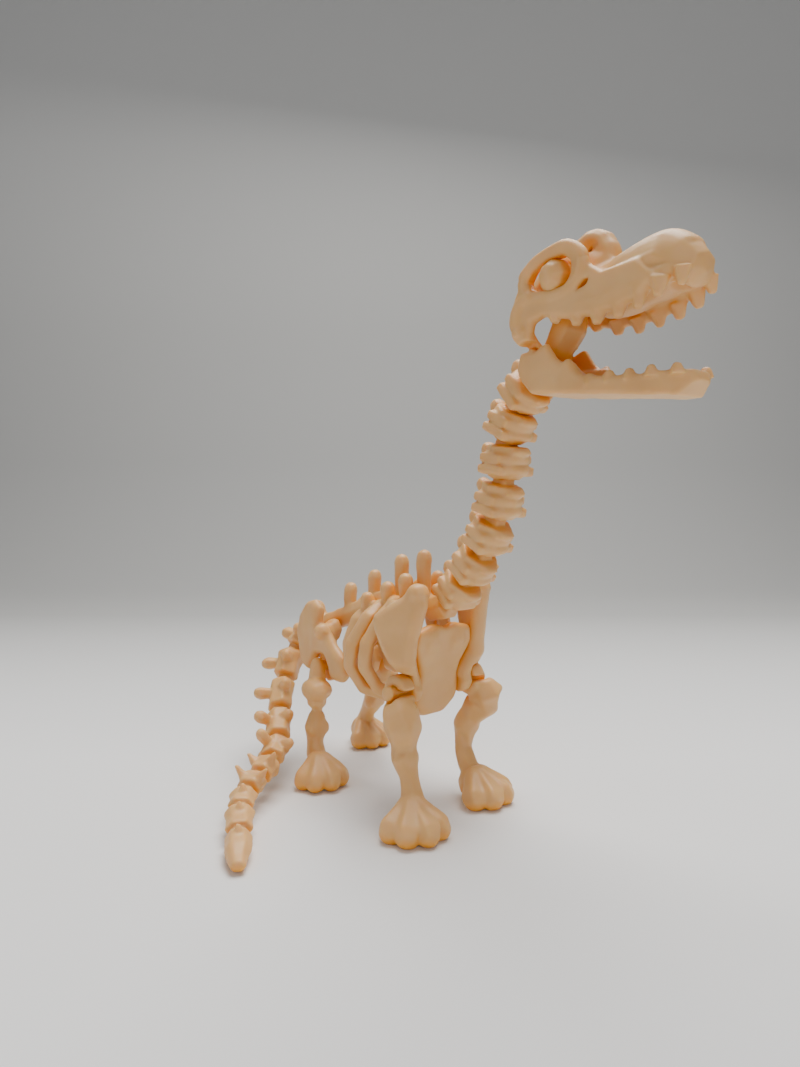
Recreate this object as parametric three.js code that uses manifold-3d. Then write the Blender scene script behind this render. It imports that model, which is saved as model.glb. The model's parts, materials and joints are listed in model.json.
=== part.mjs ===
import * as THREE from 'three';
import { mergeVertices } from 'three/addons/utils/BufferGeometryUtils.js';
import Module from 'manifold-3d';

// Articulated toy sauropod skeleton, standing on four feet with its tail curled on to the floor.
// Millimetres. +X is forward, +Y is the animal's left, +Z is up, and the floor is z = 0.

const wasm = await Module();
wasm.setup();
const { Manifold, Mesh: SolidMesh } = wasm;

// Printed clearances
const PIN_GAP = 0.45;
const SIDE_GAP = 0.4;
const SWING_GAP = 0.5;
const EYE_GAP = 0.3;
const SEAM = 0.35;
const PIN_SIDES = 6;
const SLOT_DEPTH = 4;

// Neck
const NECK_HINGES = [
  [34, 73.8], [41.2, 82.2], [48.4, 91.4], [53.4, 102], [56.3, 114], [57.8, 125.6], [62.6, 135.4], [70.4, 142],
];
const NECK_KNUCKLE = { tongueR: 2.6, tongueHalf: 2.2, pinR: 1.1 };
const NECK_REACH = 3.9;
const NECK_BELL = 7.2;
const NECK_WAIST = 5.9;
const NECK_TOP = 6.6;
const NECK_FLARE = 0.3;
const SKULL_KNUCKLE = { tongueR: 2.4, tongueHalf: 1.8, pinR: 1.1, half: 3.9 };

// Tail
const TAIL_PATH = [
  [-58, 0, 48.5], [-56.8, -9, 40], [-50.5, -17, 29.7], [-39.5, -25.2, 20.8], [-26.5, -33.2, 15],
  [-18.2, -41, 11.4], [-13.4, -49, 9.2], [-8.4, -55.8, 7.6], [0.5, -61.8, 6.2], [12.4, -68, 4.5],
];
const TAIL_DORSAL = [
  [-0.8, 0.25, 0.5], [-1, -0.2, 0.3], [-0.8, -0.55, 0.3], [-0.6, -0.6, 0.5], [-0.45, -0.5, 0.8],
  [-0.3, -0.2, 1], [0, 0, 1], [0, 0, 1], [0, 0, 1], [0, 0, 1],
];
const TAIL_PINS = [
  [0, 1, 0], [-0.3, 0.8, -0.5], [-0.5, 0.4, -0.75], [-0.4, -0.1, -0.9], [-0.3, -0.3, -0.9],
  [0, 0, -1], [0, 0, -1], [0, 0, -1], [0, 0, -1], [0, 0, -1],
];
const TAIL_TIP = 16;
const TAIL_REACH = 3.7;
const FIRST_FLAT = 7;

// Back
const SPINE_PATH = [[24, 68], [14, 71], [1, 69.5], [-14, 64.5], [-30, 58.5], [-46, 53]];
const SPINE_R = 4.0;
const BACK_KNOBS = [[18.2, 88], [6, 85.8], [-10.4, 79], [-26.4, 72.6], [-50, 63]];
const SIDE_KNOBS = [[17, 80.4], [7, 76.6], [-5.4, 71.8]];
const KNOB_R = 2.8;

// Chest: each rib from the backbone down to the breast, as x, outward distance and z
const RIBS = [
  [[11, 6, 69.5], [12.5, 13, 66], [9.5, 18.2, 56], [8.6, 18.6, 48], [12, 15.5, 41], [19, 8, 37.5]],
  [[3, 6, 68], [4.5, 14, 64.5], [1.8, 19, 54.5], [0.8, 19.2, 47], [4.6, 16, 39.8], [12, 8, 36.5]],
  [[-7, 6, 64.5], [-7, 10.5, 61.5], [-7.6, 13.8, 53], [-7, 13.6, 46], [-3.4, 11, 40], [3, 8, 37]],
];
const RIB_R = 2.15;
const RIB_BREADTH = 1.5;

// Joints of the legs
const SHOULDER = [24.8, 15.7, 42.4];
const HIP = [-26.8, 14, 41.5];
const LEG_PEG_R = 1.8;
const FRONT_FOOT = 1.12;

// Head
const JAW_HINGE = [74, 146.5];
const JAW_WALL = { inner: 7.5, outer: 9.4, pinR: 1.1 };
const QUADRATE = { inner: 4.6, outer: 7.1, r: 2.6 };
const EYE_CENTRE = [82.8, 8.6, 165.1];
const EYE_R = 4.8;
const UPPER_TEETH = { first: 82.6, last: 118, count: 7, low: 150.4, lowAt: 97, rise: 0.013, top: 156 };
const LOWER_TEETH = { first: 93.6, last: 117.4, count: 5, z: 137 };

const V = (x, y, z) => new THREE.Vector3(x, y, z);
const side = (point, s) => [point[0], s * point[1], point[2]];

// A closed solid from any three.js geometry, its faces turned outward.
function solid(geometry) {
  const bare = new THREE.BufferGeometry();
  bare.setAttribute('position', geometry.getAttribute('position').clone());
  if (geometry.index) bare.setIndex(geometry.index.clone());
  const merged = mergeVertices(bare, 1e-4);
  const position = merged.getAttribute('position');
  const triangles = [];
  let volume = 0;
  const a = new THREE.Vector3();
  const b = new THREE.Vector3();
  const c = new THREE.Vector3();
  for (let i = 0; i < merged.index.count; i += 3) {
    const ids = [0, 1, 2].map((k) => merged.index.getX(i + k));
    if (ids[0] === ids[1] || ids[1] === ids[2] || ids[2] === ids[0]) continue;
    a.fromBufferAttribute(position, ids[0]);
    b.fromBufferAttribute(position, ids[1]);
    c.fromBufferAttribute(position, ids[2]);
    volume += a.dot(b.clone().cross(c));
    triangles.push(ids);
  }
  const order = volume < 0 ? [0, 2, 1] : [0, 1, 2];
  const triVerts = new Uint32Array(triangles.flatMap((t) => order.map((k) => t[k])));
  return new Manifold(new SolidMesh({ numProp: 3, vertProperties: position.array, triVerts }));
}

const join = (...solids) => Manifold.union(solids.flat());

// The largest closed surface of a solid.
function mainBody(body) {
  const pieces = body.decompose();
  return pieces.reduce((best, piece) => (piece.volume() > best.volume() ? piece : best));
}

// The named mesh of a finished solid.
function mesh(name, body, material) {
  const data = mainBody(body).getMesh();
  const geometry = new THREE.BufferGeometry();
  const xyz = new Float32Array(data.numVert * 3);
  for (let i = 0; i < data.numVert; i += 1) {
    for (let k = 0; k < 3; k += 1) xyz[3 * i + k] = data.vertProperties[i * data.numProp + k];
  }
  geometry.setAttribute('position', new THREE.BufferAttribute(xyz, 3));
  geometry.setIndex(new THREE.BufferAttribute(new Uint32Array(data.triVerts), 1));
  geometry.computeVertexNormals();
  const out = new THREE.Mesh(geometry, material);
  out.name = name;
  return out;
}

// Right-handed frame from a centre, a main direction and the direction that should be up.
function frameAt(origin, along, up) {
  const u = along.clone().normalize();
  const v = up.clone().addScaledVector(u, -up.dot(u)).normalize();
  const w = new THREE.Vector3().crossVectors(u, v);
  const matrix = new THREE.Matrix4().makeBasis(u, v, w);
  matrix.setPosition(origin);
  return { origin, u, v, w, matrix };
}

// A point given in a frame.
function at(frame, u, v, w) {
  return V(u, v, w).applyMatrix4(frame.matrix);
}

// Ellipsoid, with its half-sizes along the axes of a frame.
function blob(centre, radii, frame = null, rings = 4, sides = 6) {
  const geometry = new THREE.SphereGeometry(1, sides, rings);
  geometry.scale(...radii);
  if (frame) {
    const turn = new THREE.Matrix4().extractRotation(frame.matrix);
    geometry.applyMatrix4(turn);
  }
  const c = Array.isArray(centre) ? V(...centre) : centre;
  geometry.translate(c.x, c.y, c.z);
  return solid(geometry);
}

// Round bone along a smooth line, its radius given at each point. Its ends are round, or flat with caps at 0.
function bone(points, radii, { sides = 6, steps = 1, up = V(0, 0, 1), flat = 1, caps = 1 } = {}) {
  const pts = points.map((p) => (Array.isArray(p) ? V(...p) : p));
  const curve = new THREE.CatmullRomCurve3(pts);
  const spans = pts.length - 1;
  const stations = [];
  for (let i = 0; i <= spans * steps; i += 1) {
    const t = i / (spans * steps);
    const k = Math.min(Math.floor(t * spans), spans - 1);
    const f = t * spans - k;
    const r = radii[k] + (radii[k + 1] - radii[k]) * f;
    stations.push({ centre: curve.getPoint(t), along: curve.getTangent(t), r });
  }
  const first = stations[0];
  const last = stations[stations.length - 1];
  const cap = (station, sign, angle) => ({
    centre: station.centre.clone().addScaledVector(station.along, sign * caps * station.r * Math.sin(angle)),
    along: station.along,
    r: station.r * Math.cos(angle),
  });
  const ends = caps > 0 ? [Math.PI / 2, Math.PI / 4] : [Math.PI / 2];
  const all = [
    ...ends.map((angle) => cap(first, -1, angle)),
    ...stations,
    ...ends.slice().reverse().map((angle) => cap(last, 1, angle)),
  ];
  const profile = all.map((s, k) => new THREE.Vector2(k === 0 || k === all.length - 1 ? 0 : 1, k));
  const geometry = new THREE.LatheGeometry(profile, sides);
  const position = geometry.getAttribute('position');
  for (let i = 0; i < position.count; i += 1) {
    const s = all[Math.round(position.getY(i))];
    const f = frameAt(s.centre, s.along, up);
    const p = s.centre.clone();
    p.addScaledVector(f.v, position.getX(i) * s.r * flat);
    p.addScaledVector(f.w, position.getZ(i) * s.r);
    position.setXYZ(i, p.x, p.y, p.z);
  }
  return solid(geometry);
}

// Cylinder between two points.
function rod(from, to, r, sides = PIN_SIDES) {
  const a = Array.isArray(from) ? V(...from) : from;
  const b = Array.isArray(to) ? V(...to) : to;
  const along = b.clone().sub(a);
  const geometry = new THREE.CylinderGeometry(r, r, along.length(), sides);
  const turn = new THREE.Quaternion().setFromUnitVectors(V(0, 1, 0), along.clone().normalize());
  geometry.applyQuaternion(turn);
  const middle = a.clone().add(b).multiplyScalar(0.5);
  geometry.translate(middle.x, middle.y, middle.z);
  return solid(geometry);
}

// Cone with a blunt point, for teeth and spikes.
function spike(base, tip, r, sides = 5, blunt = 0.3) {
  const a = Array.isArray(base) ? V(...base) : base;
  const b = Array.isArray(tip) ? V(...tip) : tip;
  const along = b.clone().sub(a);
  const geometry = new THREE.CylinderGeometry(r * blunt, r, along.length(), sides);
  const turn = new THREE.Quaternion().setFromUnitVectors(V(0, 1, 0), along.clone().normalize());
  geometry.applyQuaternion(turn);
  const middle = a.clone().add(b).multiplyScalar(0.5);
  geometry.translate(middle.x, middle.y, middle.z);
  return solid(geometry);
}

// Flat plate: an outline in the frame's u and v, its thickness centred on w.
function plate(frame, outline, thickness, bevel = 0) {
  const shape = new THREE.Shape(outline.map(([u, v]) => new THREE.Vector2(u, v)));
  const geometry = new THREE.ExtrudeGeometry(shape, {
    depth: thickness - 2 * bevel,
    bevelEnabled: bevel > 0,
    bevelThickness: bevel,
    bevelSize: bevel,
    bevelOffset: -bevel,
    bevelSegments: 1,
    curveSegments: 6,
  });
  geometry.translate(0, 0, bevel - thickness / 2);
  geometry.applyMatrix4(frame.matrix);
  return solid(geometry);
}

// Block given by its lower and upper corner in a frame.
function block(frame, low, high) {
  const geometry = new THREE.BoxGeometry(high[0] - low[0], high[1] - low[1], high[2] - low[2]);
  geometry.translate((high[0] + low[0]) / 2, (high[1] + low[1]) / 2, (high[2] + low[2]) / 2);
  geometry.applyMatrix4(frame.matrix);
  return solid(geometry);
}

// The slot in a link's lower end for the tongue of the link before it, with the pin that crosses it.
function slotted(body, hinge, knuckle) {
  const half = knuckle.tongueHalf + SIDE_GAP;
  const reach = knuckle.tongueR + SWING_GAP;
  const slot = block(hinge, [-SLOT_DEPTH, -reach - 0.3, -half], [reach, reach + 0.3, half]);
  return join(body.subtract(slot), rod(at(hinge, 0, 0, -half - 1), at(hinge, 0, 0, half + 1), knuckle.pinR));
}

// The bored tongue that reaches from a link to the hinge it shares with the next.
function tongue(hinge, reach, knuckle) {
  const r = knuckle.tongueR;
  const arc = (radius, from, to, count) => Array.from({ length: count }, (_, k) => {
    const angle = from + ((to - from) * k) / (count - 1);
    return new THREE.Vector2(radius * Math.cos(angle), radius * Math.sin(angle));
  });
  const round = arc(r, -Math.PI / 2, Math.PI / 2, 5);
  const shape = new THREE.Shape([new THREE.Vector2(-reach, -r), ...round, new THREE.Vector2(-reach, r)]);
  shape.holes.push(new THREE.Path(arc(knuckle.pinR + PIN_GAP, 2 * Math.PI, 0, PIN_SIDES + 1).slice(1)));
  const geometry = new THREE.ExtrudeGeometry(shape, {
    depth: 2 * knuckle.tongueHalf, bevelEnabled: false,
  });
  geometry.translate(0, 0, -knuckle.tongueHalf);
  geometry.applyMatrix4(hinge.matrix);
  return solid(geometry);
}

// Hinge frames: u runs along the chain, v is the dorsal direction, w is the pin.
function hingeFrames(points, dorsals) {
  return points.map((p, i) => {
    const before = points[Math.max(i - 1, 0)];
    const after = points[Math.min(i + 1, points.length - 1)];
    return frameAt(p, after.clone().sub(before), dorsals[i]);
  });
}

const neckPoints = NECK_HINGES.map(([x, z]) => V(x, 0, z));
const neckDorsals = neckPoints.map((p, i) => {
  const before = neckPoints[Math.max(i - 1, 0)];
  const after = neckPoints[Math.min(i + 1, neckPoints.length - 1)];
  return V(before.z - after.z, 0, after.x - before.x);
});
const neckFrames = hingeFrames(neckPoints, neckDorsals);
const tailPoints = TAIL_PATH.map((p) => V(...p));
const tailDorsals = TAIL_DORSAL.map((d) => V(...d));
const tailFrames = hingeFrames(tailPoints, tailPoints.map((p, i) => {
  const before = tailPoints[Math.max(i - 1, 0)];
  const after = tailPoints[Math.min(i + 1, tailPoints.length - 1)];
  return V(...TAIL_PINS[i]).cross(after.clone().sub(before));
}));

function neckKnuckle(i) {
  return i === neckPoints.length - 1 ? SKULL_KNUCKLE : NECK_KNUCKLE;
}

// One neck link: a waisted body with two side bands, a dorsal knob and a ventral bead.
function neckLink(i) {
  const start = neckFrames[i];
  const end = neckFrames[i + 1];
  const length = start.origin.distanceTo(end.origin);
  const own = frameAt(start.origin, end.origin.clone().sub(start.origin), start.v.clone().add(end.v));
  const top = length - NECK_REACH;
  const flare = NECK_FLARE * Math.max(0, 2 - i);
  const body = bone([at(own, -1.9, 0, 0), at(own, 0.9, 0, 0), at(own, top * 0.56, 0, 0), at(own, top, 0, 0)],
    [4.8, NECK_BELL + flare, NECK_WAIST + flare, NECK_TOP + flare / 2], { up: own.v, caps: 0 });
  const bands = [-0.6, 2.9].map((u, k) => block(own, [u, -4.8 + k, -7.6 + k * 0.5], [u + 2.5, 4.6, 7.6 - k * 0.5]));
  const knob = bone([at(own, top * 0.5, 3.4, 0), at(own, length * 0.52, 7.7, 0)], [2.2, 2.7], { sides: 5, up: own.u });
  const bead = blob(at(own, 0.84 * top, -5.8, 0), [1.6, 2.2, 4.4], own, 4, 5);
  const link = slotted(join(body, ...bands, knob, bead), start, NECK_KNUCKLE);
  return join(link, tongue(end, NECK_REACH + 0.8, neckKnuckle(i + 1)));
}

// Size of a tail link, from 1 at the body to the small flat ones at the tip.
const tailScale = (i) => 1 - 0.04 * i;

function tailKnuckle(i) {
  const s = tailScale(i);
  return { tongueR: Math.max(2.3 * s, 1.8), tongueHalf: Math.max(1.9 * s, 1.2), pinR: Math.max(1.0 * s, 0.7) };
}

// One tail link. The first ones carry knobs, the middle ones spikes, the last ones lie flat.
function tailLink(i) {
  const last = i === tailPoints.length - 1;
  const s = tailScale(i);
  const start = tailFrames[i];
  const end = last ? null : tailFrames[i + 1];
  const along = last ? start.u : end.origin.clone().sub(start.origin);
  const length = last ? TAIL_TIP : along.length();
  const own = frameAt(start.origin, along, tailDorsals[i].clone().add(tailDorsals[last ? i : i + 1]));
  const reach = TAIL_REACH * s + 0.5;
  const top = last ? length : length - reach;
  const flatLink = i >= FIRST_FLAT;
  const width = flatLink ? (last ? 4.3 : 5) : 6.6 * s;
  const height = flatLink ? 3.5 : 5.9 * s;
  const parts = [bone([at(own, -1.7 * s, 0, 0), at(own, 0.9, 0, 0), at(own, top * 0.5, 0, 0), at(own, top, 0, 0)],
    [width * 0.62, width, width * (last ? 0.95 : 0.84), width * (last ? 0.5 : 0.9)],
    { up: own.v, flat: height / width, caps: 0 })];
  if (i < 5) {
    parts.push(bone([at(own, top * 0.42, 2.6, 0), at(own, top * 0.5, 9.4 * s, 0)], [2 * s, 2.9 * s],
      { sides: 5, up: own.u }));
    parts.push(bone([at(own, top * 0.4, -0.4, -6.6 * s), at(own, top * 0.4, -0.4, 6.6 * s)], [2.8 * s, 2.8 * s],
      { sides: 5, up: own.u }));
  } else if (!flatLink) {
    for (const w of [-1, 1]) {
      parts.push(spike(at(own, top * 0.5, 2.2, w * 2.8), at(own, top * 0.34, 6, w * 5.8), 2.1, 4));
    }
  } else {
    parts.push(spike(at(own, 3.4, 1.2, 0), at(own, 2.2, 5, 0), 2.2, 4));
  }
  const link = slotted(join(...parts), start, tailKnuckle(i));
  return last ? onFloor(link) : onFloor(join(link, tongue(end, reach + 0.8, tailKnuckle(i + 1))));
}

// Cut off flat at the floor.
function onFloor(body) {
  const floor = frameAt(V(0, 0, 0), V(1, 0, 0), V(0, 1, 0));
  return body.subtract(block(floor, [-200, -200, -30], [200, 200, 0]));
}

// The point of the backbone below a dorsal knob.
function spineUnder(x) {
  const curve = new THREE.CatmullRomCurve3(SPINE_PATH.map(([px, pz]) => V(px, 0, pz)));
  const front = SPINE_PATH[0][0];
  const back = SPINE_PATH[SPINE_PATH.length - 1][0];
  return curve.getPointAt(Math.min(Math.max((front - x) / (front - back), 0), 1));
}

// Backbone of the trunk with its dorsal knobs, and a tongue at each end for the neck and the tail.
function spine() {
  const path = SPINE_PATH.map(([x, z]) => [x, 0, z]);
  const parts = [bone(path, path.map(() => SPINE_R), { caps: 0 })];
  for (const [x, z] of BACK_KNOBS) {
    parts.push(bone([spineUnder(x), V(x, 0, z - KNOB_R)], [2.2, KNOB_R], { up: V(1, 0, 0) }));
  }
  const neckBase = neckFrames[0];
  const tailBase = tailFrames[0];
  parts.push(bone([[22, 0, 67.5], at(neckBase, -NECK_REACH - 0.6, 0, 0)], [4.0, 4.8], { caps: 0 }));
  parts.push(bone([[-44, 0, 53.6], [-52, 1.4, 54], at(tailBase, -TAIL_REACH - 3, 0, 0),
    at(tailBase, -TAIL_REACH - 0.9, 0, 0)], [4.2, 4.4, 4.2, 3.8], { caps: 0 }));
  parts.push(tongue(neckBase, NECK_REACH + 2, NECK_KNUCKLE));
  parts.push(tongue(tailBase, TAIL_REACH + 3.4, tailKnuckle(0)));
  return join(...parts);
}

// Everything nearer the middle plane than the side of the backbone.
function spineRoom() {
  const frame = frameAt(V(0, 0, 0), V(1, 0, 0), V(0, 1, 0));
  return block(frame, [-60, -SPINE_R - SEAM, 40], [24, SPINE_R + SEAM, 90]);
}

// Ribs of one side, tied above and below, with the side knobs of the back and the shoulder blade.
function ribCage(s) {
  const placed = RIBS.map((line) => line.map((p) => side(p, s)));
  const ribs = placed.map((line) => bone(line, line.map(() => RIB_R),
    { sides: 5, flat: RIB_BREADTH, up: V(1, 0, 0), caps: 0 }));
  const low = [[22, s * 7.6, 40], ...placed.map((line) => line[line.length - 1])];
  const high = [[15, s * 6.4, 69.4], ...placed.map((line) => line[0])];
  const knobs = SIDE_KNOBS.map(([x, z]) => bone([[x - 1, s * 5.8, z - 10], [x, s * 7.2, z - KNOB_R]],
    [2.2, KNOB_R], { sides: 5 }));
  const body = join(...ribs, ...knobs, bone(low, low.map(() => 2.1), { sides: 5 }),
    bone(high, high.map(() => 2.2), { sides: 5 }), shoulderBlade(s));
  return body.subtract(join(spineRoom(), breastplate(SEAM)));
}

// Breast shield in front: wide above, a waist, and two lobes below, hollowed under the neck.
function breastplate(grow) {
  const frame = frameAt(V(25.5, 0, 50), V(0, 1, 0), V(5.5, 0, 24));
  const half = [[4.5, 14], [11.4, 12.4], [12.4, 7.5], [9.2, 0.5], [8.2, -3.5], [10, -9], [9, -14], [4.6, -18.6]];
  const grown = half.map(([u, v]) => [u + grow, v + grow * Math.sign(v)]);
  const outline = [...grown, ...grown.slice().reverse().map(([u, v]) => [-u, v])];
  const lobes = [-1, 1].map((s) => blob(at(frame, s * 5.6, 8, 0.6), [4.6 + grow, 5.2 + grow, 2.8 + grow], frame));
  const shield = join(plate(frame, outline, 4 + 2 * grow, 1.1), ...lobes);
  if (grow > 0) return shield;
  const neckRoom = bone([[14, 0, 66], [26, 0, 68.5], [38, 0, 77]], [6.4, 7, 9.4], { caps: 0, sides: 8 });
  return shield.subtract(neckRoom);
}

// Shoulder blade: a broad plate with a lobe to the rear, a knob on top and the peg of the front leg.
function shoulderBlade(s) {
  const [x, y, z] = SHOULDER;
  const frame = frameAt(V(25.6, s * 16.4, 62), V(0.92, -s * 0.39, 0), V(0, 0, 1));
  const outline = [[5, 15.6], [9.4, 13.6], [9.4, 9], [5.8, -2.5], [5, -11], [0, -12.6], [-3.4, -10.4], [-5.6, -6.5],
    [-9.2, 0.6], [-9.2, 5.4], [1.8, 12.2]];
  const blade = plate(frame, outline, 5.6, 1.7);
  const knob = blob(at(frame, 6.6, 13.2, 0), [3.8, 3.8, 3.8]);
  const root = bone([[10, s * 7, 69], [17, s * 11.5, 68.6], [23, s * 15.6, 70]], [2.6, 2.8, 2.6], { caps: 0 });
  const socket = rod([x, s * 9.4, z], [x, s * 13, z], 4.2, 8);
  const neckOfBlade = bone([at(frame, 1, -8, -0.6), [x, s * 11, z + 1]], [3.6, 3.6], { caps: 0 });
  const peg = rod([x, s * 10, z], [x, s * (y + 4.6), z], LEG_PEG_R);
  const head = blob([x, s * (y + 4.9), z], [2.9, 1.3, 2.9]);
  const legRoom = rod([x, s * (y - 2.7), z], [x, s * (y + 9), z], 7, 10);
  return join(join(blade, knob, root, neckOfBlade).subtract(legRoom), socket, peg, head);
}

// Hip bone of one side: a blade above, a notched arch over the thigh and a bored wall that holds its peg.
function hipBone(s) {
  const [x, y, z] = HIP;
  const frame = frameAt(V(x, s * (y - 1.2), z), V(1, 0, 0), V(0, 0, 1));
  const outline = [[-4.4, 24.6], [-1, 21.6], [-2, 16], [4.4, 13.4], [8.6, 8.6], [14.4, 4.8], [17.4, -0.4], [14.4, -4],
    [7.4, -3.6], [5.6, 0.8], [2.6, 4.8], [-3, 4.8], [-6.4, 0.4], [-8.4, -3.2], [-13, -1.6], [-15.4, 5], [-16.6, 12],
    [-14.6, 18], [-9.4, 23.4]];
  const arch = plate(frame, outline, 4, 1.3);
  const knob = blob([x + 2, s * (y + 0.6), z + 13.4], [3.1, 3, 3.3]);
  const wall = rod([x, s * (y - 7), z], [x, s * (y - 3.4), z], 6.4, 8);
  const tie = bone([[x - 3, s * 5, z + 13], [x - 3, s * 11, z + 10]], [4.2, 3.6]);
  const stem = bone([[x - 1, s * 8.8, z + 4], [x - 2, s * 10, z + 12]], [3.4, 3.4]);
  return join(arch, knob, wall, tie, stem)
    .subtract(rod([x, s * 2, z], [x, s * 30, z], LEG_PEG_R + 0.6, 8))
    .subtract(rod([x, s * 0.5, z], [x, s * (y - 7), z], 3.8, 8))
    .subtract(spineRoom());
}

// Foot with four round toes below a sloping instep, flat underneath.
function foot(x, y, turn, size = 1) {
  const parts = [blob([x, y, 5.8], [5.2, 5.2, 6])];
  for (const fan of [-1.5, -0.5, 0.5, 1.5]) {
    const angle = turn + fan * 0.56;
    const outward = (r, z) => [x + r * size * Math.cos(angle), y + r * size * Math.sin(angle), z];
    parts.push(bone([outward(2.4, 9.4), outward(Math.abs(fan) > 1 ? 8.6 : 9.6, 3.7)],
      [2.6, 4.1 * size], { sides: 5 }));
  }
  return onFloor(join(...parts));
}

// Front leg: a hooked top on the shoulder peg, a knobbly bone and the foot.
function frontLeg(s, line, place, turn) {
  const [x, y, z] = SHOULDER;
  const frame = frameAt(V(x, s * y, z), V(1, 0, 0), V(0, 0, 1));
  const boss = rod([x, s * (y - 2.2), z], [x, s * (y + 2.6), z], 5.6, 10);
  const bore = rod([x, s * (y - 9), z], [x, s * (y + 9), z], LEG_PEG_R + 0.6, 8);
  const mouth = block(frame, [1, -0.8, -5], [9, 1.6, 5]);
  const shaft = bone(line, [4.2, 6.4, 6.1, 4.3, 4.6, 2.9, 3.7]);
  const room = rod([x, s * (y - 9), z], [x, s * (y - 2.2), z], 6.4, 8);
  const headRoom = rod([x, s * (y + 2.6), z], [x, s * (y + 12), z], 3.9, 8);
  const knee = [-1, 1].map((w) => blob([line[4][0] + 1.2, line[4][1] + w * 2.2, line[4][2]], [2.8, 2.5, 3],
    null, 3, 5));
  const upper = join(boss, shaft, ...knee).subtract(join(bore, mouth, room, headRoom));
  return join(upper, foot(place[0], place[1], turn, FRONT_FOOT));
}

// Rear leg: a peg through the hip wall, a post under the arch, a wide thigh head, a knee and the foot.
function rearLeg(s, line, place, turn) {
  const [x, y, z] = HIP;
  const peg = rod([x, s * (y - 8), z], [x, s * (y + 2), z], LEG_PEG_R);
  const stop = rod([x, s * (y - 9), z], [x, s * (y - 7.6), z], 3.0);
  const post = bone([[x, s * (y + 1.4), z + 0.6], [x + 1, s * (y + 2), z - 6]], [2.6, 3.4]);
  const [hx, hy, hz] = line[0];
  const thigh = blob([hx, hy, hz], [6.6, 5.2, 4.4], null, 4, 8);
  const shaft = bone(line, [4.2, 3.6, 2.9, 4.2, 3, 3.6]);
  const knee = [-1, 1].map((w) => blob([line[3][0] + 1.2, line[3][1] + w * 2.3, line[3][2]], [2.9, 2.6, 3],
    null, 3, 5));
  return join(peg, stop, post, thigh, shaft, ...knee, foot(place[0], place[1], turn));
}

// Line of the tooth rows seen from above: half width of the muzzle at a given x.
function muzzleHalf(x, front, half) {
  const nose = 9;
  const t = Math.max(0, (x - (front - nose)) / nose);
  return half * Math.sqrt(Math.max(0, 1 - t * t));
}

// Cheek of one side: the ring round the eye, the slit before it, the tooth edge and the bar down to the jaw.
function cheek(s) {
  const frame = frameAt(V(84, s * 9.3, 0), V(1, -s * 0.02, 0), V(0, 0, 1));
  const points = (list) => list.map(([x, z]) => [x - 84, z]);
  const outline = points([
    [69.4, 161], [72.2, 166], [75.8, 169.8], [80.3, 171.4], [86.9, 172.6], [90.2, 171.6], [94.2, 165.9], [98.4, 163],
    [108, 164], [113, 159], [109, 154.8], [101, 153], [94, 152.9], [87.2, 153.4], [79.6, 155.4], [75.6, 154],
    [74.9, 151], [75.5, 148.6], [70.7, 148.6], [69, 152.2], [68.3, 157],
  ]);
  const socket = points([[74.2, 165], [77, 168.6], [81.8, 169.6], [86.6, 169.8], [89.3, 167.4], [89.3, 164.9],
    [87.6, 162], [82.2, 161.4], [76, 162.2]]);
  const slit = points([[95.3, 163], [93.9, 160.6], [89.8, 158.9], [91.8, 161.4]]);
  return plate(frame, outline, 3.4, 0.9).subtract(join(plate(frame, socket, 8), plate(frame, slit, 8)));
}

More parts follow.
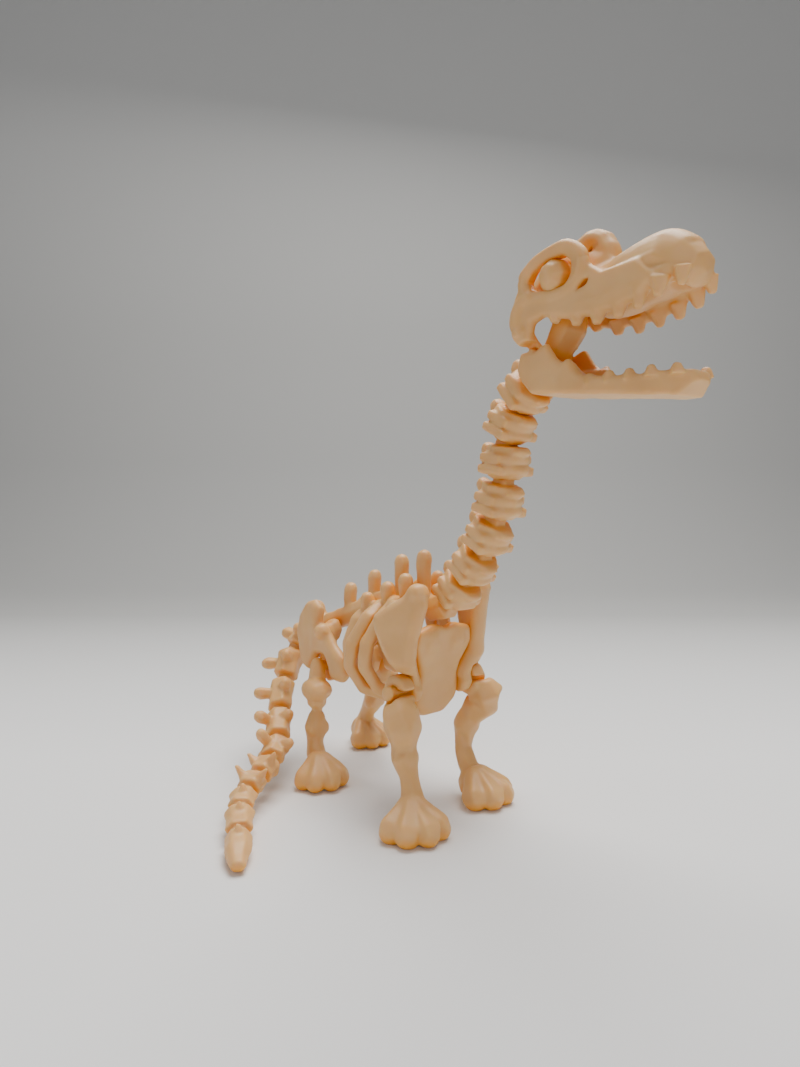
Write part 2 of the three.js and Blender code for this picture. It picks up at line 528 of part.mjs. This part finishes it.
// Skull without the eyes: cheeks, brain case, crest, solid muzzle, teeth and the stem to the neck.
function skull() {
  const middle = frameAt(V(0, 0, 0), V(1, 0, 0), V(0, 0, 1));
  const brainCase = bone([[75, 0, 165], [83, 0, 167.4], [92, 0, 164.6]], [6.4, 7, 6.6]);
  const muzzle = bone([[92, 0, 160.6], [99, 0, 160.8], [106, 0, 162.8], [112, 0, 163.8], [116.6, 0, 161.6]],
    [8.4, 8.9, 9.6, 9.4, 7.2], { sides: 8, flat: 0.8, caps: 0.62 });
  const crest = plate(middle, [[78, 165], [80.8, 172.6], [83.6, 175.6], [87, 177.2], [90.4, 177.2], [93.2, 175.6],
    [95.4, 172.4], [96.6, 168], [94.6, 163]], 6.4, 1.6);
  const tilted = frameAt(V(100, 0, 157.2), V(1, 0, 0.26), V(0, 1, 0));
  const lip = plate(tilted, [[0, -9], [9, -9], [15, -7.8], [18.6, -4.6], [19.6, 0], [18.6, 4.6], [15, 7.8], [9, 9],
    [0, 9]], 5.4);
  let body = join(cheek(1), cheek(-1), brainCase, muzzle, crest, lip);
  body = body.subtract(rod([88.8, -5, 171.8], [88.8, 5, 171.8], 0.9, 6));
  for (const s of [-1, 1]) {
    body = body.subtract(blob(side(EYE_CENTRE, s), Array(3).fill(EYE_R + EYE_GAP), null, 6, 8));
    body = body.subtract(blob([89.2, s * 4.6, 172.6], [4.2, 2.4, 3], null, 4, 5));
  }
  body = body.subtract(bone([[84, 0, 151.6], [98, 0, 153.4], [112, 0, 157]], [6.6, 6.6, 5.2], { flat: 0.95 }));
  const teeth = [];
  const { first, last: lastTooth, count, low, lowAt, rise, top } = UPPER_TEETH;
  for (const s of [-1, 1]) {
    for (let k = 0; k < count; k += 1) {
      const f = k / (count - 1);
      const x = first + (lastTooth - first) * f * (1.24 - 0.24 * f);
      const y = s * muzzleHalf(x, 121, 9.4);
      const z = Math.min(low + rise * (x - lowAt) ** 2, top);
      teeth.push(spike([x, y * 0.86, z + 4.2], [x + 0.4, y * 0.98, z], 3.3 - 0.6 * f, 4, 0.42));
    }
  }
  const stem = bone([[71.5, 0, 143.6], [76.4, 0, 147.6], [80.4, 0, 153], [81, 0, 161]],
    [3.2, 4.6, 5.2, 4.8], { up: V(0, 1, 0), caps: 0 });
  const last = neckFrames[neckFrames.length - 1];
  const socket = block(last, [-2.2, -3.6, -SKULL_KNUCKLE.half], [7, 3.6, SKULL_KNUCKLE.half]);
  body = slotted(join(body, ...teeth, stem, socket), last, SKULL_KNUCKLE);
  const lugs = [];
  const [hx, hz] = JAW_HINGE;
  for (const s of [-1, 1]) {
    lugs.push(rod([hx, s * QUADRATE.inner, hz], [hx, s * QUADRATE.outer, hz], QUADRATE.r));
    lugs.push(bone([[72.6, s * 9, 151], [73.4, s * 7.6, 149], [hx, s * 6, hz + 1]], [2.3, 2.1, 1.8]));
  }
  body = join(body, ...lugs);
  for (const s of [-1, 1]) {
    body = body.subtract(rod([hx, s * (QUADRATE.inner - 0.1), hz], [hx, s * 12, hz], JAW_WALL.pinR + PIN_GAP));
    body = body.subtract(rod([hx, s * (JAW_WALL.inner - SIDE_GAP), hz], [hx, s * 12, hz], QUADRATE.r + 0.4, 10));
  }
  return body;
}

// Lower jaw: two high walls behind, a low rim with small teeth in front, a floor, and a pin each side.
function jaw() {
  const middle = frameAt(V(0, 0, 0), V(1, 0, 0), V(0, 0, 1));
  const profile = [[69.3, 142.4], [70.2, 146.7], [76, 146.7], [79.6, 148.2], [82.6, 143.8], [85, 142.2], [87.1, 143.2],
    [89.4, 139.8], [91.6, 138.2], [97, 137.2], [108, 136.5], [119.4, 136.8], [120.8, 134.6], [117, 130.9], [74.2, 135.2],
    [70.8, 138.8]];
  let body = plate(middle, profile, 2 * JAW_WALL.outer, 0.8);
  body = body.subtract(bone([[62, 0, 144], [84, 0, 143.6], [98, 0, 140.6], [110, 0, 138.8]], [7.5, 7.3, 6.6, 5],
    { flat: 1.02, sides: 8, caps: 0.8 }));
  body = body.subtract(block(middle, [60, 142, -JAW_WALL.inner], [92, 152, JAW_WALL.inner]));
  const above = frameAt(V(0, 0, 140), V(1, 0, 0), V(0, 1, 0));
  const plan = [[60, -12], [100, -12], [106, -9.2], [114, -7.8], [120, -4], [121, 0], [120, 4], [114, 7.8],
    [106, 9.2], [100, 12], [60, 12]];
  body = body.intersect(plate(above, plan, 40));
  const parts = [body];
  const { first, last, count, z } = LOWER_TEETH;
  for (const s of [-1, 1]) {
    for (let k = 0; k < count; k += 1) {
      const x = first + ((last - first) * k) / (count - 1);
      const y = s * Math.min(7.9, muzzleHalf(x, 121, 8));
      parts.push(spike([x, y, z - 1.4], [x, y, z + 1.4], 2.5, 4, 0.4));
    }
    parts.push(rod([JAW_HINGE[0], s * (QUADRATE.inner + 0.2), JAW_HINGE[1]],
      [JAW_HINGE[0], s * (JAW_WALL.outer - 0.4), JAW_HINGE[1]], JAW_WALL.pinR));
  }
  return join(...parts);
}

const bonePlastic = () => new THREE.MeshStandardMaterial({ color: 0xf0c8a0, roughness: 0.55 });
const eyePlastic = () => new THREE.MeshStandardMaterial({ color: 0xf2cda8, roughness: 0.45 });

const toy = new THREE.Group();
toy.name = 'toy_sauropod_skeleton';
const add = (name, body, material = bonePlastic()) => toy.add(mesh(name, body, material));

add('spine', spine());
add('rib_cage_left', ribCage(1));
add('rib_cage_right', ribCage(-1));
add('breastplate', breastplate(0));
add('hip_bone_left', hipBone(1));
add('hip_bone_right', hipBone(-1));
for (let i = 0; i < neckPoints.length - 1; i += 1) add(`neck_link_${i + 1}`, neckLink(i));
add('skull', skull());
add('jaw', jaw());
add('eye_left', blob(side(EYE_CENTRE, 1), Array(3).fill(EYE_R), null, 6, 8), eyePlastic());
add('eye_right', blob(side(EYE_CENTRE, -1), Array(3).fill(EYE_R), null, 6, 8), eyePlastic());
add('front_leg_left', frontLeg(1, [
  [26.2, 18, 41], [28.2, 20.4, 37], [26.2, 20.8, 32.6], [22.4, 19, 28], [20.6, 17.6, 23.6], [21.4, 15.8, 16],
  [25, 15.4, 10],
], [27.6, 14.8], 0.15));
add('front_leg_right', frontLeg(-1, [
  [25.4, -17.6, 40.5], [28.2, -18.2, 36.5], [29.4, -18.2, 31.5], [29.4, -18, 27], [29.8, -18, 22.4],
  [32.4, -18, 16.5], [34, -18, 10],
], [34.4, -19], -0.5));
add('rear_leg_left', rearLeg(1, [
  [-28.6, 18.4, 33.6], [-31, 18.6, 29], [-34, 18.8, 25], [-37.6, 19, 20], [-41.4, 19.2, 14.6],
  [-44, 19.4, 10],
], [-45.6, 19.4], 0.05));
add('rear_leg_right', rearLeg(-1, [
  [-22.8, -18.2, 33.6], [-22.4, -18.2, 28.4], [-22.4, -18.4, 24.4], [-22.8, -18.8, 19.4],
  [-22.6, -19.2, 14], [-21.4, -19.6, 10],
], [-18.6, -20], -0.4));
for (let i = 0; i < tailPoints.length; i += 1) add(`tail_link_${i + 1}`, tailLink(i));

// The origin is on the floor, below the middle of the toy's box.
const box = new THREE.Box3().setFromObject(toy);
toy.position.set(-(box.min.x + box.max.x) / 2, -(box.min.y + box.max.y) / 2, 0);

export default toy;
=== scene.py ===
import json
import math

import bmesh
import bpy
import numpy as np
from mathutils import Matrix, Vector, noise

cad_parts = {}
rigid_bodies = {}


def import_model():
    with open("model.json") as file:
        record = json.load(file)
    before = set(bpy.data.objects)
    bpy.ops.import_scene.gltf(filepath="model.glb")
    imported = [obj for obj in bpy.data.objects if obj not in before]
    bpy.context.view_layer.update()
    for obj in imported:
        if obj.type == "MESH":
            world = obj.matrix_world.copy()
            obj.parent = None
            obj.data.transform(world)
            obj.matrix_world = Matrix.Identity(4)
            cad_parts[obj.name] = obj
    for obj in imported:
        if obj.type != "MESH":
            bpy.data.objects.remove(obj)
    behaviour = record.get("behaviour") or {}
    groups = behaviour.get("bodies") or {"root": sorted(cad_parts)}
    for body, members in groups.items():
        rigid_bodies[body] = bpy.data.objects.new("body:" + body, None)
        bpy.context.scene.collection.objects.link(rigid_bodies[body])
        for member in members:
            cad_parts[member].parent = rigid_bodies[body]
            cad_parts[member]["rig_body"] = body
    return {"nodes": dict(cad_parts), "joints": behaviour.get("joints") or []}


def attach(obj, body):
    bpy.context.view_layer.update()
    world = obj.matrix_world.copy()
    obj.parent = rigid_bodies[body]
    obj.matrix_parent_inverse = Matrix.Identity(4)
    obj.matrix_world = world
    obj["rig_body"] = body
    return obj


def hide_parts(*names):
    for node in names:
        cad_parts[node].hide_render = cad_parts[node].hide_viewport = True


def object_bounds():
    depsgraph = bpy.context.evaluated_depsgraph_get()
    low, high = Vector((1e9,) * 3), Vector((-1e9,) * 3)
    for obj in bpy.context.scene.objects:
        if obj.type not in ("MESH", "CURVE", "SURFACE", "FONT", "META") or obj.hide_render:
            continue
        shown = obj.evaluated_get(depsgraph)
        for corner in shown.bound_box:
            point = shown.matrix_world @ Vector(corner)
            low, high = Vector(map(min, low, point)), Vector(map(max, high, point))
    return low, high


# Dress of an articulated toy sauropod skeleton in one translucent peach plastic.
# Lengths are in millimetres, and MM turns them into metres.
# Those of the backdrop, the lamps and CAMERA_NEAR are in metres already.
# Each piece is the softened shape of one CAD node. The neck links and the skull gain some round forms first.

MM = 0.001
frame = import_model()
cad_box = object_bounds()
joints = {joint["name"]: joint for joint in frame["joints"]}

# Camera, placed from the hinge of the jaw
CAMERA_FROM_JAW = (143.2, -168.0, -38.5)
CAMERA_AZIMUTH = 51.65
CAMERA_DOWN = 3.144
CAMERA_NEAR = 0.01
FOCAL_PIXELS = 755.2
PHOTO_HEIGHT = 1067
SENSOR = 36.0

# Lamps: name, place from the middle of the toy, size, watts and colour
LOOK_HEIGHT = 0.08
LAMPS = (
    ("overhead", (-0.10, 0.20, 0.75), 0.6, 11.0, (1.0, 0.98, 0.95)),
    ("front_fill", (0.75, -0.35, 0.35), 0.7, 2.2, (1.0, 0.97, 0.93)),
    ("side_fill", (-0.45, -0.75, 0.35), 0.6, 1.3, (0.96, 0.98, 1.0)),
)
ROOM_COLOUR = (0.78, 0.79, 0.82, 1)
ROOM_STRENGTH = 0.30

# Softened print surface
WELD = 0.001
VOXEL = 0.42
SMOOTH_FACTOR = 0.5
SMOOTH_STEPS = {"skull": 14, "jaw": 12, "eye": 6, "neck": 16, "tail": 16, "spine": 22, "breastplate": 30}
SMOOTH_OTHERS = 34
REGAIN_PER_STEP = 0.012
LUMP_DEPTH = 0.28
LUMP_SPACING = 4.5

# Bands of a neck link: distance along the link, radius of the ring, and radius of its round section
NECK_BANDS = ((1.2, 5.7, 1.6), (4.3, 5.7, 1.6))
BAND_POINTS = 12
BAND_HEIGHT = 0.92
BAND_SIDES, BAND_STEPS = 10, 3

# Forms of the head, measured from the hinge of the jaw. The rim and the bar are x and z.
# The gum is x, y and z, and the muzzle is x, z and radius.
SOCKET_RIM = ((-1.6, 19.0), (1.4, 22.4), (6.8, 24.4), (12.8, 25.2), (17.4, 22.6), (18.2, 18.2), (14.4, 14.2),
              (7.6, 13.2), (0.8, 14.8))
RIM_SIDE, RIM_RADIUS = 9.9, 1.8
CHEEK_BAR = ((2.0, 14.6), (-1.9, 12.8), (-3.2, 8.4), (-2.0, 4.4))
CHEEK_RADIUS = 2.5
GUM = ((4.0, 8.2, 11.2), (14.0, 8.8, 10.2), (24.0, 9.0, 9.6), (34.0, 8.6, 11.4), (40.0, 6.4, 13.6),
       (44.0, 2.6, 15.2))
GUM_RADIUS = 2.1
MUZZLE = ((19.0, 14.2, 8.1), (25.0, 14.3, 8.4), (32.0, 16.3, 9.0), (37.6, 17.2, 8.9), (41.6, 15.4, 7.4))
MUZZLE_HEIGHT = 0.86
MUZZLE_SIDES = 24

# Tubes
TUBE_SIDES, TUBE_STEPS = 14, 6
NEARLY_UPRIGHT = 0.95

# Plastic
LIT_COLOUR = (0.62, 0.33, 0.115, 1)
PALE_COLOUR = (0.76, 0.47, 0.20, 1)
# Painted glow: deep orange put into hollows for light bounced between pieces and shining through the plastic
PAINTED_GLOW_COLOUR = (0.80, 0.34, 0.012, 1)
PLASTIC_ROUGHNESS = 0.42
PLASTIC_IOR = 1.46
GLOW_WEIGHT = 0.55
GLOW_RADIUS = (0.85, 0.50, 0.18)
GLOW_SCALE = 3.2
BLOTCH_SCALE, BLOTCH_DETAIL = 90.0, 3.0
# Occlusion that masks the painted glow in hollows: its reach, its samples, and where the glow is full and
# where it is none
PAINTED_GLOW_REACH = 13.0
PAINTED_GLOW_SAMPLES = 8
PAINTED_GLOW_FULL, PAINTED_GLOW_NONE = 0.25, 0.80
LAYER_HEIGHT = 0.28
PHASE_PER_SCALE = 20
LAYER_WANDER, LAYER_DETAIL_SCALE = 0.6, 2.0
GRAIN_SCALE = 1400.0
GRAIN_SHARE = 0.35
BUMP_STRENGTH, BUMP_DEPTH = 0.22, 0.06

# Backdrop, with light and shade painted into its grey: its grey near the toy (a painted pool of light),
# further back on the floor (painted shade) and at the top (painted light), and where these change
NEAR_GREY_PAINTED_LIGHT, BACK_GREY_PAINTED_SHADE, TOP_GREY_PAINTED_LIGHT = 0.80, 0.42, 0.62
BACK_STARTS, BACK_ENDS = 0.06, 0.42
TOP_STARTS, TOP_ENDS = 0.15, 0.62
BLUE_SHARE = 0.98
PAPER_ROUGHNESS = 0.85
SWEEP_START, SWEEP_FLAT, SWEEP_BEND, SWEEP_HEIGHT, SWEEP_HALF = -1.6, 0.55, 0.35, 1.6, 2.4
BEND_STEPS = 12


def add_camera():
    """Camera of the photograph."""
    jaw = joint_place("jaw_hinge")
    turn = math.radians(CAMERA_AZIMUTH)
    down = math.radians(CAMERA_DOWN)
    look = Vector((-math.sin(turn) * math.cos(down), math.cos(turn) * math.cos(down), -math.sin(down)))
    data = bpy.data.cameras.new("camera")
    data.sensor_width = SENSOR
    data.lens = FOCAL_PIXELS * SENSOR / PHOTO_HEIGHT
    data.clip_start = CAMERA_NEAR
    camera = bpy.data.objects.new("camera", data)
    camera.location = jaw + Vector(CAMERA_FROM_JAW) * MM
    camera.rotation_mode = "QUATERNION"
    camera.rotation_quaternion = look.to_track_quat("-Z", "Y")
    bpy.context.scene.collection.objects.link(camera)
    bpy.context.scene.camera = camera


def add_light(name, place, target, size, watts, colour):
    """Soft square lamp at a place, turned to a target."""
    data = bpy.data.lights.new(name, "AREA")
    data.shape = "SQUARE"
    data.size = size
    data.energy = watts
    data.color = colour
    lamp = bpy.data.objects.new(name, data)
    lamp.location = place
    lamp.rotation_mode = "QUATERNION"
    lamp.rotation_quaternion = (Vector(target) - Vector(place)).to_track_quat("-Z", "Y")
    bpy.context.scene.collection.objects.link(lamp)


def add_lights():
    """Overhead soft box a little behind the toy, two weak fills, and a pale room."""
    low, high = cad_box
    middle = Vector(((low[0] + high[0]) / 2, (low[1] + high[1]) / 2, LOOK_HEIGHT))
    for name, offset, size, watts, colour in LAMPS:
        add_light(name, middle + Vector(offset), middle, size, watts, colour)
    world = bpy.data.worlds.new("room")
    world.use_nodes = True
    background = world.node_tree.nodes["Background"]
    background.inputs["Color"].default_value = ROOM_COLOUR
    background.inputs["Strength"].default_value = ROOM_STRENGTH
    bpy.context.scene.world = world


def new_material(name):
    """New material with its node tree and its Principled shader."""
    material = bpy.data.materials.new(name)
    material.use_nodes = True
    tree = material.node_tree
    return material, tree, tree.nodes["Principled BSDF"]


def grey_along(tree, place, direction, starts, ends, grey_a, grey_b):
    """Grey that changes along a direction, from a number or another node's colour to a number."""
    along = tree.nodes.new("ShaderNodeVectorMath")
    along.operation = "DOT_PRODUCT"
    along.inputs[1].default_value = direction
    tree.links.new(place.outputs["Object"], along.inputs[0])
    reach = tree.nodes.new("ShaderNodeMapRange")
    reach.inputs["From Min"].default_value = starts
    reach.inputs["From Max"].default_value = ends
    tree.links.new(along.outputs["Value"], reach.inputs["Value"])
    tint = tree.nodes.new("ShaderNodeMix")
    tint.data_type = "RGBA"
    tree.links.new(reach.outputs["Result"], tint.inputs["Factor"])
    if isinstance(grey_a, float):
        tint.inputs["A"].default_value = (grey_a, grey_a, grey_a, 1)
    else:
        tree.links.new(grey_a, tint.inputs["A"])
    tint.inputs["B"].default_value = (grey_b, grey_b, grey_b * BLUE_SHARE, 1)
    return tint.outputs["Result"]


def sweep_paper_painted_light(back):
    """Paper that is lightest round the toy with a painted pool of light, darker further back with painted
    shade, and paler again high up with painted light.
    """
    material, tree, shader = new_material("paper_sweep")
    shader.inputs["Roughness"].default_value = PAPER_ROUGHNESS
    place = tree.nodes.new("ShaderNodeTexCoord")
    # Painted pool of light near the toy fading to painted shade further back on the floor, then painted
    # light high up
    painted_floor_grey = grey_along(tree, place, back, BACK_STARTS, BACK_ENDS, NEAR_GREY_PAINTED_LIGHT, BACK_GREY_PAINTED_SHADE)
    grey = grey_along(tree, place, (0, 0, 1), TOP_STARTS, TOP_ENDS, painted_floor_grey, TOP_GREY_PAINTED_LIGHT)
    tree.links.new(grey, shader.inputs["Base Color"])
    return material


def sweep_profile():
    """Outline of the sheet seen from the side, as distance back and height."""
    profile = [(SWEEP_START, 0.0), (SWEEP_FLAT, 0.0)]
    for k in range(1, BEND_STEPS + 1):
        angle = math.pi / 2 * k / BEND_STEPS
        profile.append((SWEEP_FLAT + SWEEP_BEND * math.sin(angle), SWEEP_BEND * (1 - math.cos(angle))))
    profile.append((SWEEP_FLAT + SWEEP_BEND, SWEEP_HEIGHT))
    return profile


def add_backdrop():
    """Pale floor that curves up behind the toy, as one sheet."""
    turn = math.radians(CAMERA_AZIMUTH)
    back = Vector((-math.sin(turn), math.cos(turn), 0))
    across = Vector((math.cos(turn), math.sin(turn), 0))
    material = sweep_paper_painted_light(back)
    profile = sweep_profile()
    mesh = bpy.data.meshes.new("backdrop")
    vertices = []
    for u, z in profile:
        for s in (-1, 1):
            vertices.append(tuple(back * u + across * (s * SWEEP_HALF) + Vector((0, 0, z))))
    faces = [(2 * k, 2 * k + 1, 2 * k + 3, 2 * k + 2) for k in range(len(profile) - 1)]
    mesh.from_pydata(vertices, [], faces)
    mesh.shade_smooth()
    sheet = bpy.data.objects.new("backdrop", mesh)
    sheet.data.materials.append(material)
    bpy.context.scene.collection.objects.link(sheet)


def blotched_colour(tree, place):
    """Slow change between the two colours of the lit plastic."""
    blotch = tree.nodes.new("ShaderNodeTexNoise")
    blotch.inputs["Scale"].default_value = BLOTCH_SCALE
    blotch.inputs["Detail"].default_value = BLOTCH_DETAIL
    tree.links.new(place.outputs["Object"], blotch.inputs["Vector"])
    colour = tree.nodes.new("ShaderNodeMix")
    colour.data_type = "RGBA"
    colour.inputs["A"].default_value = LIT_COLOUR
    colour.inputs["B"].default_value = PALE_COLOUR
    tree.links.new(blotch.outputs["Fac"], colour.inputs["Factor"])
    return colour.outputs["Result"]


def painted_hollow_glow(tree, colour):
    """The given colour, turned to a painted deep orange glow in hollows and between close pieces. The glow
    stands for light bounced there and shining through the plastic.
    """
    hollow = tree.nodes.new("ShaderNodeAmbientOcclusion")
    hollow.samples = PAINTED_GLOW_SAMPLES
    hollow.inputs["Distance"].default_value = PAINTED_GLOW_REACH * MM
    spread = tree.nodes.new("ShaderNodeMapRange")
    spread.inputs["From Min"].default_value = PAINTED_GLOW_FULL
    spread.inputs["From Max"].default_value = PAINTED_GLOW_NONE
    spread.inputs["To Min"].default_value = 1.0
    spread.inputs["To Max"].default_value = 0.0
    tree.links.new(hollow.outputs["AO"], spread.inputs["Value"])
    painted_glow = tree.nodes.new("ShaderNodeMix")
    painted_glow.data_type = "RGBA"
    painted_glow.inputs["B"].default_value = PAINTED_GLOW_COLOUR
    tree.links.new(spread.outputs["Result"], painted_glow.inputs["Factor"])
    tree.links.new(colour, painted_glow.inputs["A"])
    return painted_glow.outputs["Result"]


def print_relief(tree, place):
    """Bump of level layer lines with a fine grain over them."""
    layers = tree.nodes.new("ShaderNodeTexWave")
    layers.wave_type = "BANDS"
    layers.bands_direction = "Z"
    layers.inputs["Scale"].default_value = math.tau / (PHASE_PER_SCALE * LAYER_HEIGHT * MM)
    layers.inputs["Distortion"].default_value = LAYER_WANDER
    layers.inputs["Detail Scale"].default_value = LAYER_DETAIL_SCALE
    tree.links.new(place.outputs["Object"], layers.inputs["Vector"])
    grain = tree.nodes.new("ShaderNodeTexNoise")
    grain.inputs["Scale"].default_value = GRAIN_SCALE
    tree.links.new(place.outputs["Object"], grain.inputs["Vector"])
    relief = tree.nodes.new("ShaderNodeMix")
    relief.inputs["Factor"].default_value = GRAIN_SHARE
    tree.links.new(layers.outputs["Fac"], relief.inputs["A"])
    tree.links.new(grain.outputs["Fac"], relief.inputs["B"])
    bump = tree.nodes.new("ShaderNodeBump")
    bump.inputs["Strength"].default_value = BUMP_STRENGTH
    bump.inputs["Distance"].default_value = BUMP_DEPTH * MM
    tree.links.new(relief.outputs["Result"], bump.inputs["Height"])
    return bump.outputs["Normal"]


def print_plastic(name):
    """Translucent printed plastic with layer lines and a painted deep orange glow in its hollows."""
    material, tree, shader = new_material(name)
    shader.inputs["Roughness"].default_value = PLASTIC_ROUGHNESS
    shader.inputs["IOR"].default_value = PLASTIC_IOR
    shader.inputs["Subsurface Weight"].default_value = GLOW_WEIGHT
    shader.inputs["Subsurface Radius"].default_value = GLOW_RADIUS
    shader.inputs["Subsurface Scale"].default_value = GLOW_SCALE * MM
    place = tree.nodes.new("ShaderNodeTexCoord")
    # Base colour with the painted glow in its hollows
    colour = painted_hollow_glow(tree, blotched_colour(tree, place))
    tree.links.new(colour, shader.inputs["Base Color"])
    tree.links.new(print_relief(tree, place), shader.inputs["Normal"])
    return material


def copy_of(name):
    """New mesh object with the shape of a CAD node, its doubled vertices joined."""
    source = frame["nodes"][name]
    mesh = source.data.copy()
    mesh.name = name + "_print"
    piece = bpy.data.objects.new(name + "_print", mesh)
    bpy.context.scene.collection.objects.link(piece)
    shape = bmesh.new()
    shape.from_mesh(mesh)
    bmesh.ops.remove_doubles(shape, verts=shape.verts, dist=WELD * MM)
    shape.to_mesh(mesh)
    shape.free()
    return piece


def smooth_between(a, b, c, d, f):
    """Place at share f of the way from b to c on a smooth line through a, b, c and d."""
    slope = (c - a) * f
    bend = (2 * a - 5 * b + 4 * c - d) * f ** 2
    twist = (3 * b - a - 3 * c + d) * f ** 3
    return 0.5 * (2 * b + slope + bend + twist)


def tube_stations(points, radii, closed, steps):
    """Centres and radii along a smooth line of points, which may close on itself."""
    count = len(points)
    spans = count if closed else count - 1

    def spot(k):
        return points[k % count] if closed else points[min(max(k, 0), count - 1)]

    centres, sizes = [], []
    for k in range(spans * steps + (0 if closed else 1)):
        span, part = divmod(k, steps)
        f = part / steps
        centres.append(smooth_between(spot(span - 1), spot(span), spot(span + 1), spot(span + 2), f))
        first = radii[span % len(radii)]
        second = radii[(span + 1) % len(radii)] if closed else radii[min(span + 1, count - 1)]
        sizes.append(first + (second - first) * f)
    return centres, sizes


def tube(points, radii, closed=False, flat=1.0, sides=TUBE_SIDES, steps=TUBE_STEPS):
    """Corners and faces of a round tube along a smooth line of points in metres. Open ends are flat."""
    centres, sizes = tube_stations(points, radii, closed, steps)
    total = len(centres)
    corners, faces = [], []
    for k in range(total):
        ahead = centres[(k + 1) % total] if closed else centres[min(k + 1, total - 1)]
        behind = centres[k - 1] if closed else centres[max(k - 1, 0)]
        along = (ahead - behind).normalized()
        upright = abs(along.z) >= NEARLY_UPRIGHT
        across = Vector((0, 1, 0)) if upright else along.cross(Vector((0, 0, 1))).normalized()
        upward = across.cross(along)
        for j in range(sides):
            angle = math.tau * j / sides
            ring = across * math.cos(angle) + upward * math.sin(angle) * flat
            corners.append(centres[k] + ring * sizes[k])
    rows = total if closed else total - 1
    for k in range(rows):
        low, high = k * sides, ((k + 1) % total) * sides
        for j in range(sides):
            after = (j + 1) % sides
            faces.append((low + j, low + after, high + after, high + j))
    if not closed:
        faces.append(tuple(range(sides))[::-1])
        faces.append(tuple(range(rows * sides, total * sides)))
    return corners, faces


def fuse(piece, shape):
    """Adds a closed shape's corners and faces to a piece, before the piece is remeshed."""
    corners, faces = shape
    mesh = bmesh.new()
    mesh.from_mesh(piece.data)
    added = [mesh.verts.new(corner) for corner in corners]
    for face in faces:
        mesh.faces.new([added[k] for k in face])
    bmesh.ops.recalc_face_normals(mesh, faces=mesh.faces)
    mesh.to_mesh(piece.data)
    mesh.free()


def joint_place(name):
    """Place of a joint, in metres."""
    return Vector(joints[name]["pos_m"])


def add_neck_bands(piece, number):
    """Two fat round bands about a neck link."""
    start = joint_place("neck_joint_%d" % number)
    along = (joint_place("neck_joint_%d" % (number + 1)) - start).normalized()
    across = Vector((0, 1, 0))
    upward = across.cross(along)
    for reach, major, minor in NECK_BANDS:
        centre = start + along * (reach * MM)
        ring = []
        for k in range(BAND_POINTS):
            angle = math.tau * k / BAND_POINTS
            spoke = across * math.cos(angle) + upward * (BAND_HEIGHT * math.sin(angle))
            ring.append(centre + spoke * (major * MM))
        fuse(piece, tube(ring, [minor * MM], closed=True, sides=BAND_SIDES, steps=BAND_STEPS))


def add_head_forms(piece):
    """Round rim of the eye socket, bar of the cheek and gum over the teeth on each side, and the muzzle."""
    jaw = joint_place("jaw_hinge")
    for s in (-1, 1):
        rim = [jaw + Vector((x, s * RIM_SIDE, z)) * MM for x, z in SOCKET_RIM]
        fuse(piece, tube(rim, [RIM_RADIUS * MM], closed=True))
        bar = [jaw + Vector((x, s * RIM_SIDE, z)) * MM for x, z in CHEEK_BAR]
        fuse(piece, tube(bar, [CHEEK_RADIUS * MM] * len(bar)))
        gum = [jaw + Vector((x, s * y, z)) * MM for x, y, z in GUM]
        fuse(piece, tube(gum, [GUM_RADIUS * MM] * len(gum)))
    muzzle = [jaw + Vector((x, 0, z)) * MM for x, z, _ in MUZZLE]
    fuse(piece, tube(muzzle, [r * MM for _, _, r in MUZZLE], flat=MUZZLE_HEIGHT, sides=MUZZLE_SIDES))


def apply_modifiers(piece):
    """Bakes the piece's modifiers into its mesh."""
    graph = bpy.context.evaluated_depsgraph_get()
    evaluated = piece.evaluated_get(graph)
    mesh = bpy.data.meshes.new_from_object(evaluated)
    piece.modifiers.clear()
    old = piece.data
    piece.data = mesh
    mesh.name = piece.name
    bpy.data.meshes.remove(old)


def smooth_steps(name):
    """How often a piece is smoothed: little where it has teeth or small bands, more on plain bones."""
    for start, steps in SMOOTH_STEPS.items():
        if name.startswith(start):
            return steps
    return SMOOTH_OTHERS


def soften(piece, steps):
    """Turns a faceted solid into a rounded, evenly meshed one with slight lumps, no lower than the floor."""
    remesh = piece.modifiers.new("remesh", "REMESH")
    remesh.mode = "VOXEL"
    remesh.voxel_size = VOXEL * MM
    smooth = piece.modifiers.new("smooth", "SMOOTH")
    smooth.factor = SMOOTH_FACTOR
    smooth.iterations = steps
    apply_modifiers(piece)
    mesh = piece.data
    count = len(mesh.vertices)
    places = np.zeros(count * 3)
    normals = np.zeros(count * 3)
    mesh.vertices.foreach_get("co", places)
    mesh.vertices.foreach_get("normal", normals)
    places = places.reshape(-1, 3)
    normals = normals.reshape(-1, 3)
    spacing = LUMP_SPACING * MM
    lumps = np.array([noise.noise(Vector(place) / spacing) for place in places])
    places += normals * ((REGAIN_PER_STEP * steps + LUMP_DEPTH * lumps) * MM)[:, None]
    places[:, 2] = np.maximum(places[:, 2], 0.0)
    mesh.vertices.foreach_set("co", places.ravel())
    mesh.shade_smooth()


def dress(name, material):
    """Replaces a CAD node with its softened piece."""
    piece = copy_of(name)
    if name.startswith("neck_link"):
        add_neck_bands(piece, int(name.rsplit("_", 1)[1]))
    if name == "skull":
        add_head_forms(piece)
    soften(piece, smooth_steps(name))
    piece.data.materials.clear()
    piece.data.materials.append(material)
    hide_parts(name)
    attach(piece, frame["nodes"][name]["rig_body"])


bone_plastic = print_plastic("bone_plastic")
add_camera()
add_lights()
add_backdrop()
for node_name in sorted(frame["nodes"]):
    dress(node_name, bone_plastic)
